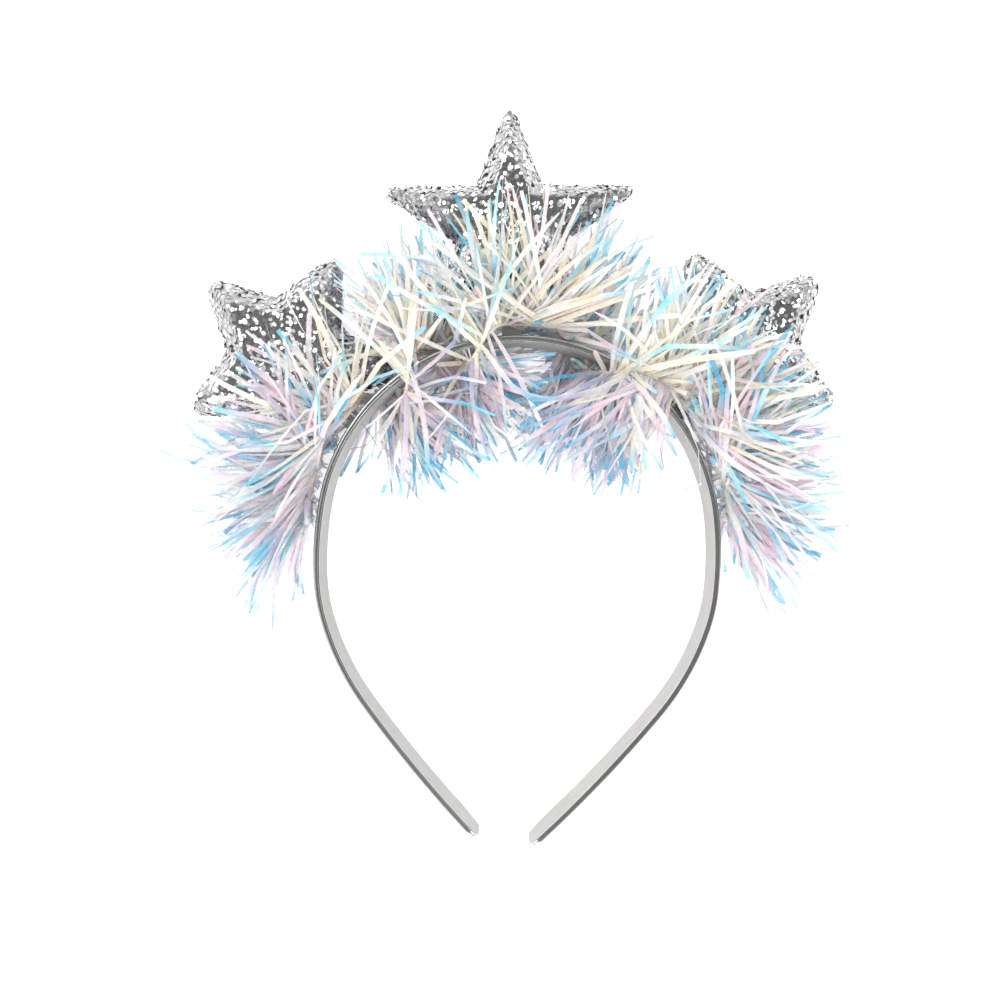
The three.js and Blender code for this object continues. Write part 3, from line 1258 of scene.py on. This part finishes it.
@dataclass
class TinselGarland:
    """A cord set with cut strips of film, laid along the hoop and wound round its crown."""

    hoop: Hoop
    stars: list[PaddedStar]
    finish: FilmFinish
    start: float = -89.0 * MM
    end: float = 85.0 * MM
    # Places along the hoop, in mm, and the turns that the cord has made there.
    winding: tuple[tuple[float, float], ...] = (
        (-53.0, 0.0),
        (-36.0, 0.75),
        (-12.0, 1.75),
        (-4.0, 2.0),
        (8.0, 2.0),
        (33.0, 2.75),
        (50.0, 3.0),
    )
    core_out: float = 4.5 * MM
    core_up: float = 10.0 * MM
    core_rise: float = 3.0 * MM
    core_radius: float = 0.45 * MM
    core_sides: int = 8
    core_step: float = 1.0 * MM
    reaches: tuple[Reach, ...] = (
        Reach(-89.0, 38.0, 9.0, 0.8, 1.0, 0.4, 0.0),
        Reach(-66.0, 38.0, 20.0, 0.8, 0.8, 0.2, -0.1),
        Reach(-46.0, 38.0, 33.0, 0.9, 1.0, 0.12, 0.1),
        Reach(-24.0, 38.0, 36.0, 0.9, 1.0, 0.1, 0.2),
        Reach(0.0, 44.0, 30.0, 0.9, 1.0, 0.08, 0.1),
        Reach(24.0, 36.0, 36.0, 0.5, 1.0, 0.9, 0.3),
        Reach(46.0, 40.0, 40.0, 1.0, 1.0, 0.9, 0.1),
        Reach(66.0, 40.0, 26.0, 0.9, 0.7, 0.3, -0.3),
        Reach(85.0, 36.0, 9.0, 0.8, 1.0, 0.4, 0.0),
    )
    count: int = 10800
    most: int = 4300
    fluff_share: float = 0.38
    fluff_low: float = 0.16
    fluff_high: float = 0.4
    front_share: float = 0.45
    over_band_share: float = 0.1
    low_end: float = 62.0 * MM
    over_band_room: float = 2.5 * MM
    seed: int = 11
    spread: float = 0.4
    spread_power: float = 1.5
    steepness: float = 0.62
    steepest: float = 0.55
    lean: float = 0.6
    front_lean: float = 0.42
    bend: float = 0.15
    sag: float = 0.5
    kink: float = 0.45
    kink_share: float = 0.35
    width_low: float = 0.75 * MM
    width_high: float = 1.75 * MM
    flatness: float = 0.55
    twist: float = 0.9
    film: float = 0.12 * MM
    gap: float = 0.35 * MM
    floor_gap: float = 0.15 * MM
    tuft_length: float = 14.0 * MM
    left_tuft: float = 1.1
    right_tuft: float = 0.8
    tip_low: float = 0.3
    tip_high: float = 0.9
    front_height: float = 15.0 * MM
    dimming: float = 0.1

    # Shares of a strip's length and of its width there, and where colours are drawn.
    STATIONS = np.array((0.0, 0.18, 0.42, 0.68, 0.9, 1.0))
    WIDTHS = np.array((0.7, 1.0, 1.0, 1.0, 0.9, 0.0))
    KINKS = STATIONS[2:4]
    TINT_KNOTS = np.array((0.0, 0.36, 0.68, 1.0))
    RIBBON_SIDES = 4

    @property
    def top(self) -> float:
        """Height of the hoop's front edge."""
        return self.hoop.middle[2] + self.hoop.width / 2

    def core(self, distances: Array) -> HoopFrames:
        """Places on the garland's cord beside distances along the hoop.

        Args:
            distances: lengths along the hoop's centreline.

        Returns:
            Points on the cord, with the hoop's own directions.
        """
        spots, turns = np.array(self.winding).T
        roll = -2 * math.pi * np.interp(distances / MM, spots, turns)
        place = self.hoop.frames(distances)
        points = place.points + place.outward * (self.core_out * np.cos(roll))[:, None]
        points[:, 2] += self.core_up * np.sin(roll) + self.core_rise * np.cos(roll) ** 2
        return HoopFrames(points, place.outward, place.along)

    def strips(self) -> Strips:
        """Sets strips all round the cord and keeps those that clear the hoop and the stars.

        Returns:
            The kept strips.
        """
        rng = np.random.default_rng(self.seed)
        n = self.count
        distance = self.start + (self.end - self.start) * (np.arange(n) + rng.random(n)) / n
        place = self.core(distance)
        round_angle = rng.random(n) * 2 * math.pi
        at, *columns = np.array([astuple(reach) for reach in self.reaches]).T
        outer, inner, outer_share, inner_share, inner_front_share, inner_lean = (
            np.interp(distance / MM, at, column) for column in columns
        )
        inward = np.cos(round_angle) < 0
        spread = self.spread * rng.random(n) ** self.spread_power
        length = np.where(inward, inner, outer) * MM * (1 - spread)
        fluff = rng.random(n) < self.fluff_share
        length *= np.where(fluff, between(self.fluff_low, self.fluff_high, rng.random(n)), 1.0)
        lean = np.where(place.points[:, 2] > self.top, self.front_lean, self.lean)
        lean *= 2 * rng.random(n) - 1
        lean += self.tuft(distance) + np.where(inward, inner_lean, 0.0)
        way = self.ways(place, round_angle, lean, length)
        path = self.paths(place, way, length, rng)
        width = between(self.width_low, self.width_high, rng.random(n))
        free = self.free(path, width)
        share = np.where(inward, inner_share, outer_share) * self.thinning(path)
        risen = inward & (path[:, 0, 2] > self.hoop.middle[2])
        share = np.where(risen, share * inner_front_share, share)
        free &= rng.random(n) < share
        tip, outside = self.hoop.locate(path[:, -1])
        free &= (outside > 0) | (tip > self.start) & (tip < self.end)
        chosen = np.sort(rng.permutation(np.flatnonzero(free))[: self.most])
        widths = width[:, None] * self.WIDTHS[None]
        widths[:, -1] = width * between(self.tip_low, self.tip_high, rng.random(n))
        roll = self.flatness * rng.normal(size=(n, 1))
        roll = roll + rng.normal(size=(n, 1)) * self.twist * self.STATIONS[None]
        low = np.abs(distance) > self.low_end
        tints = self.tints(path, inward, low, fluff & ~low, rng)
        LOG.info("%d of %d strips are clear", int(free.sum()), n)
        return Strips(path[chosen], widths[chosen], roll[chosen], tints[chosen])

    def tuft(self, distance: Array) -> Array:
        """How far strips lean out along the hoop near the garland's ends.

        Args:
            distance: places along the hoop.

        Returns:
            The leans, negative to the left.
        """
        to_end = np.minimum(distance - self.start, self.end - distance)
        tuft = np.clip(1 - to_end / self.tuft_length, 0, 1)
        return tuft * np.where(distance < 0, -self.left_tuft, self.right_tuft)

    def ways(self, place: HoopFrames, round_angle: Array, lean: Array, length: Array) -> Array:
        """Direction in which each strip leaves the cord.

        Args:
            place: where the strips start.
            round_angle: their angles round the cord, from outward.
            lean: how far they lean along the hoop.
            length: how long they are.

        Returns:
            Directions that stay clear of the floor and of too steep a rise.
        """
        way = place.outward * np.cos(round_angle)[:, None] + place.along * lean[:, None]
        way[:, 2] = self.steepness * np.sin(round_angle)
        way = unit(way)
        lowest = (2 * self.floor_gap - place.points[:, 2]) / length
        way[:, 2] = np.clip(way[:, 2], lowest, self.steepest)
        level = np.sqrt(1 - way[:, 2] ** 2) / np.linalg.norm(way[:, :2], axis=1)
        way[:, :2] *= level[:, None]
        return way

    def paths(self, place: HoopFrames, way: Array, length: Array, rng: Chance) -> Array:
        """Bows each strip along its way and kinks some of them.

        Args:
            place: where the strips start.
            way: the directions that they leave in.
            length: how long they are.
            rng: the source of chance.

        Returns:
            Each strip's stations.
        """
        n = len(way)
        side = unit(np.cross(way, UP))
        bow = side * (rng.normal(size=(n, 1)) * self.bend)
        bow[:, 2] -= np.abs(rng.normal(size=n)) * self.bend * self.sag
        kink = rng.normal(size=(n, 1)) * self.kink
        kink = side * (kink * (rng.random((n, 1)) < self.kink_share))
        t = self.STATIONS[None, :, None]
        past = np.maximum(t - rng.choice(self.KINKS, n)[:, None, None], 0)
        path = way[:, None] * t + bow[:, None] * t**2 + kink[:, None] * past
        path = place.points[:, None] + length[:, None, None] * path
        path[:, :, 2] = np.maximum(path[:, :, 2], self.floor_gap + self.film)
        return path

    def thinning(self, path: Array) -> Array:
        """Share of strips that is kept where they stand in front of the hoop or a star.

        Args:
            path: the strips' ways.

        Returns:
            A share for each strip.
        """
        share = np.where(path[:, 0, 2] > self.top, self.front_share, 1.0)
        for station in range(1, len(self.STATIONS)):
            _, offset = self.hoop.locate(path[:, station])
            over = (np.abs(offset) < self.over_band_room) & (path[:, station, 2] > self.top)
            share = np.where(over, np.minimum(share, self.over_band_share), share)
        for star in self.stars:
            share = np.where(star.covered(path[:, -2]), share * star.veil, share)
        return share

    def free(self, path: Array, width: Array) -> Array:
        """Whether each strip keeps clear of the hoop and the stars.

        Args:
            path: the strips' ways.
            width: how wide each strip is.

        Returns:
            True for strips that are clear.
        """
        found = np.ones(len(path), bool)
        for station in range(1, len(self.STATIONS)):
            points = path[:, station]
            margin = self.gap + width * self.WIDTHS[station] / 2
            found &= ~self.hoop.touched(points, margin)
            for star in self.stars:
                found &= ~star.touched(points, margin)
        return found

    def tints(self, path: Array, inward: Array, low: Array, fluff: Array, rng: Chance) -> Array:
        """Colours along each strip, by where it points, with the iridescent reflection painted in:
        cream and white on high outer strips as if top-lit, bluer towards the tips and inside the
        hoop.

        Args:
            path: the strips' ways.
            inward: whether each strip points to the inside of the hoop.
            low: whether each strip belongs to the bunches at the garland's ends.
            fluff: whether each strip is a short one beside the crown.
            rng: the source of chance.

        Returns:
            A colour for each strip and station.
        """
        high = (path[:, -1, 2] > self.front_height) & ~low | fluff
        members = {
            Zone.FRONT: high & ~inward,
            Zone.SIDE: ~high & ~inward,
            Zone.INNER: inward,
        }
        pulls = np.eye(len(self.TINT_KNOTS))
        colours = np.zeros((len(path), len(self.STATIONS), 3))
        for zone, member in members.items():
            rows = np.flatnonzero(member)
            near, middle, far = TINT_SHARES[zone]
            for pull, shares in zip(pulls, (near, middle, middle, far)):
                values = np.array([tint.value for tint in shares])
                weights = np.array(list(shares.values()), float)
                drawn = values[rng.choice(len(values), len(rows), p=weights / weights.sum())]
                part = np.interp(self.STATIONS, self.TINT_KNOTS, pull)
                colours[rows] += drawn[:, None] * part[None, :, None]
        return colours * (1 - self.dimming + self.dimming * rng.random((len(path), 1, 1)))

    def build(self) -> Piece:
        """Joins the cord and its strips into one piece.

        Returns:
            The garland.
        """
        strips = self.strips()
        points, faces = self.ribbon(strips)
        tints = np.repeat(strips.tints.reshape(-1, 3), self.RIBBON_SIDES, axis=0)
        cord_points, cord_walls, cord_ends = self.cord()
        faces = np.concatenate((faces, cord_walls + len(points)))
        cord_ends = cord_ends + len(points)
        points = np.concatenate((points, cord_points))
        tints = np.concatenate((tints, np.tile(Tint.CREAM.value, (len(cord_points), 1))))
        mesh = mesh_from_arrays("tinsel", points, [faces, cord_ends])
        layer = mesh.attributes.new(Attribute.FILM.value, "FLOAT_COLOR", "POINT")
        rgba = np.concatenate((tints, np.ones((len(tints), 1))), axis=1)
        layer.data.foreach_set("color", rgba.astype(np.float32).ravel())
        piece = add_object("tinsel", mesh)
        dress(piece, self.finish.material())
        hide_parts("tinsel_garland")
        return piece

    def ribbon(self, strips: Strips) -> tuple[Array, Array]:
        """Thin closed ribbons along the strips' ways.

        Args:
            strips: the strips.

        Returns:
            The corners and the four-sided faces.
        """
        n, stations = strips.path.shape[:2]
        tangent = unit(np.gradient(strips.path, axis=1))
        level = unit(np.cross(tangent, UP))
        rise = np.cross(level, tangent)
        turn = strips.roll[:, :, None]
        wide = np.cos(turn) * level + np.sin(turn) * rise
        thick = np.cross(tangent, wide)
        half = strips.widths[:, :, None] / 2
        ring = np.stack(
            (
                strips.path + wide * half,
                strips.path + thick * self.film / 2,
                strips.path - wide * half,
                strips.path - thick * self.film / 2,
            ),
            axis=2,
        )
        ring[..., 2] = np.maximum(ring[..., 2], self.floor_gap)
        sides = self.RIBBON_SIDES
        starts = np.arange(n * stations).reshape(n, stations) * sides
        corners = np.arange(sides)
        ends = (starts[:, :1] + corners[::-1], starts[:, -1:] + corners)
        faces = np.concatenate((tube_walls(starts[:, :-1], sides), *ends))
        return ring.reshape(-1, 3), faces

    def cord(self) -> tuple[Array, Array, Array]:
        """The cord that holds the strips.

        Returns:
            Its corners, four-sided walls and two end faces.
        """
        distances = np.arange(self.start, self.end, self.core_step)
        place = self.core(distances)
        tangent = unit(np.gradient(place.points, axis=0))
        side = unit(place.outward - tangent * (place.outward * tangent).sum(-1, keepdims=True))
        ring = rings(side, np.cross(tangent, side), self.core_sides)
        points = place.points[:, None] + self.core_radius * ring
        starts = np.arange(len(distances)) * self.core_sides
        corners = np.arange(self.core_sides)
        ends = np.stack((corners[::-1], starts[-1] + corners))
        return points.reshape(-1, 3), tube_walls(starts[:-1], self.core_sides), ends


@dataclass
class StarTabs:
    """The plain felt tabs that hold the stars off the hoop."""

    finish: FeltFinish
    names: tuple[str, ...] = ("star_tab_centre", "star_tab_left", "star_tab_right")

    def dress(self) -> list[Piece]:
        """Gives the CAD tabs their felt.

        Returns:
            The tabs.
        """
        material = self.finish.material()
        tabs = [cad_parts[name] for name in self.names]
        for tab in tabs:
            tab.data.materials.clear()
            tab.data.materials.append(material)
        return tabs


@dataclass(frozen=True)
class Lamp:
    """A broad soft lamp far away, with its angles in degrees; gloss may leave it unmirrored."""

    name: str
    azimuth: float
    elevation: float
    spread: float
    strength: float
    mirrored: bool = True


@dataclass
class Studio:
    """White floor, a dim top and brighter sides, and the camera straight above."""

    hoop: Hoop
    lamps: tuple[Lamp, ...] = (
        Lamp("key", 140.0, 38.0, 30.0, 0.9),
        Lamp("fill_right", 35.0, 36.0, 30.0, 0.5),
        Lamp("fill_low", 270.0, 27.0, 40.0, 2.0),
        Lamp("fill_top", 270.0, 80.0, 60.0, 1.3, mirrored=False),
    )
    dark: float = 0.34
    bright: float = 2.1
    dark_way: tuple[float, float, float] = (0.22, -0.08, 0.97)
    dark_core: float = 0.8
    dark_edge: float = 0.55
    far_side: float = 0.7
    floor_size: float = 4.0
    floor_glow: float = 0.5
    floor_drop: float = 0.1 * MM
    floor_roughness: float = 0.9
    paper_scale: float = 400.0
    paper_dark: float = 0.9
    paper_light: float = 0.92
    camera_height: float = 289.0 * MM
    camera_x: float = -5.69 * MM
    camera_y: float = 10.87 * MM
    camera_roll: float = 2.0
    focal_share: float = 0.915
    sensor: float = 36.0
    clip_start: float = 10.0 * MM

    def build(self) -> None:
        """Sets up the floor, the light and the camera."""
        self.build_floor()
        self.build_sky()
        for lamp in self.lamps:
            self.build_lamp(lamp)
        self.build_camera()

    def build_floor(self) -> None:
        """Lays a plain pale floor just under the object."""
        bm = bmesh.new()
        bmesh.ops.create_grid(bm, x_segments=1, y_segments=1, size=self.floor_size / 2)
        bmesh.ops.translate(bm, vec=(0.0, 0.0, -self.floor_drop), verts=bm.verts)
        floor = add_object("floor", mesh_from_bmesh("floor", bm, smooth=False))
        material, graph = new_material("pale_floor")
        stops = ((NOISE_LOW, self.paper_dark), (NOISE_HIGH, self.paper_light))
        graph.surface(
            {
                "Base Color": graph.ramp(graph.noise(self.paper_scale), stops),
                "Roughness": self.floor_roughness,
                "Emission Color": WHITE,
                "Emission Strength": self.floor_glow,
            }
        )
        floor.data.materials.append(material)

    def build_sky(self) -> None:
        """Surrounds the scene with a soft light, dim above and bright round the sides."""
        world = bpy.data.worlds.new("studio")
        bpy.context.scene.world = world
        world.use_nodes = True
        graph = Graph(world.node_tree)
        way = graph.add("ShaderNodeTexCoord").outputs["Generated"]
        inputs = {0: way, 1: Vector(self.dark_way).normalized()}
        toward = graph.add("ShaderNodeVectorMath", inputs, operation="DOT_PRODUCT")
        inputs = {"Value": toward.outputs["Value"], "From Min": -1.0}
        height = graph.add("ShaderNodeMapRange", inputs).outputs["Result"]
        stops = (
            (-1.0, self.bright),
            (self.dark_edge, self.bright * self.far_side),
            (self.dark_core, self.dark),
        )
        grey = graph.ramp(height, tuple(((place + 1) / 2, value) for place, value in stops))
        light = graph.add("ShaderNodeBackground", {"Color": grey})
        plain = graph.add("ShaderNodeBackground", {"Color": WHITE})
        seen = graph.add("ShaderNodeLightPath").outputs["Is Camera Ray"]
        both = graph.add("ShaderNodeMixShader", {0: seen, 1: light.outputs[0], 2: plain.outputs[0]})
        graph.add("ShaderNodeOutputWorld", {"Surface": both.outputs[0]})

    def build_lamp(self, lamp: Lamp) -> None:
        """Hangs one lamp.

        Args:
            lamp: where it stands and how it shines.
        """
        data = bpy.data.lights.new(lamp.name, "SUN")
        data.energy = lamp.strength
        data.angle = math.radians(lamp.spread)
        light = bpy.data.objects.new(lamp.name, data)
        light.visible_glossy = lamp.mirrored
        turn, rise = math.radians(lamp.azimuth), math.radians(lamp.elevation)
        level = math.cos(rise)
        toward = Vector((math.cos(turn) * level, math.sin(turn) * level, math.sin(rise)))
        light.rotation_euler = toward.to_track_quat("Z", "Y").to_euler()
        bpy.context.scene.collection.objects.link(light)

    def build_camera(self) -> None:
        """Hangs the camera over the hoop, looking straight down."""
        data = bpy.data.cameras.new("camera")
        data.sensor_width = self.sensor
        data.lens = self.sensor * self.focal_share
        data.clip_start = self.clip_start
        camera = bpy.data.objects.new("camera", data)
        camera.location = (
            self.hoop.middle[0] + self.camera_x,
            self.hoop.middle[1] + self.camera_y,
            self.camera_height,
        )
        camera.rotation_euler = (0.0, 0.0, math.radians(self.camera_roll))
        bpy.context.scene.collection.objects.link(camera)
        bpy.context.scene.camera = camera
        bpy.context.scene.view_settings.view_transform = "Standard"


def make_stars(hoop: Hoop) -> list[PaddedStar]:
    """The three stars along the crown, the middle one larger.

    Args:
        hoop: the hoop that they stand on.

    Returns:
        The stars, the middle one first.
    """
    side = {
        "tip": 32.8 * MM,
        "sharp": 37.8 * MM,
        "notch": 19.1 * MM,
        "squat": 0.99,
        "thickness": 14.0 * MM,
    }
    return [
        PaddedStar(
            hoop,
            "centre",
            x=-5.4 * MM,
            y=94.7 * MM,
            turn=-2.6,
            tip=39.5 * MM,
            sharp=43.0 * MM,
            notch=17.4 * MM,
            squat=0.892,
            thickness=16.0 * MM,
            seed=3,
            veil=0.6,
        ),
        PaddedStar(
            hoop, "left", x=-72.4 * MM, y=52.1 * MM, turn=-48.2, seed=5, veil=0.4, **side
        ),
        PaddedStar(hoop, "right", x=65.9 * MM, y=58.8 * MM, turn=44.7, seed=7, **side),
    ]


def report(pieces: list[Piece]) -> None:
    """Logs each piece with its number of faces."""
    for piece in pieces:
        LOG.info("%s: %d faces", piece.name, len(piece.data.polygons))


def main() -> None:
    """Builds the headband piece by piece, then the studio round it."""
    logging.basicConfig(level=logging.INFO, format="%(message)s")
    hoop = Hoop()
    stars = make_stars(hoop)
    report([CoveredBand(hoop, COVER, LINING).build()])
    flakes = FlakeFinish().material()
    backing = BackingFinish().material()
    for star in stars:
        report(star.build(flakes, backing))
    report([TinselGarland(hoop, stars, FilmFinish()).build()])
    report(StarTabs(FeltFinish()).dress())
    Studio(hoop).build()


if __name__ == "__main__":
    main()
